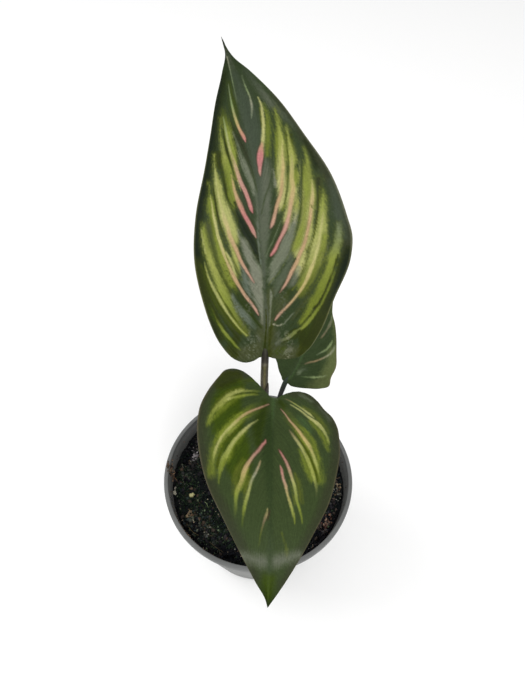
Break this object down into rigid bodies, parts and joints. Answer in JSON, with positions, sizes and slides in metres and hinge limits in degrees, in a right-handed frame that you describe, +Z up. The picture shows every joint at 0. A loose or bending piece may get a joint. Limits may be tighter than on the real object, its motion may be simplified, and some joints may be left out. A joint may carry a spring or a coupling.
{
  "type": "pinstripe calathea",
  "caption": "Young pinstripe calathea with broad striped leaves on dark sheathed stalks, in soil in a round grey plastic nursery pot.",
  "frame": {"origin": "middle of the pot's underside, on the surface that it stands on", "axes": "+Z up along the pot's axis, +Y to the back of the plant and +X to its right as seen from the front"},
  "size_m": [0.09, 0.1439, 0.2348],
  "materials": {
    "grey_plastic": "matte moulded grey plastic, a little lighter on the lip",
    "potting_soil": "moist dark peat and bark mix with crumbs, fibres, moss and a few pale mineral grains",
    "dark_stalk": "satin dark brown to purple-black plant skin, olive brown where it catches the light",
    "striped_blade": "satin dark green leaf with fine cream, pink and lime stripes along its side veins, purple-black underneath"
  },
  "bodies": {
    "root": {"pot": "grey_plastic", "soil": "potting_soil", "stalk_top": "dark_stalk", "stalk_front": "dark_stalk", "stalk_rear": "dark_stalk", "blade_top": "striped_blade", "blade_front": "striped_blade", "blade_rear": "striped_blade"}
  },
  "joints": []
}
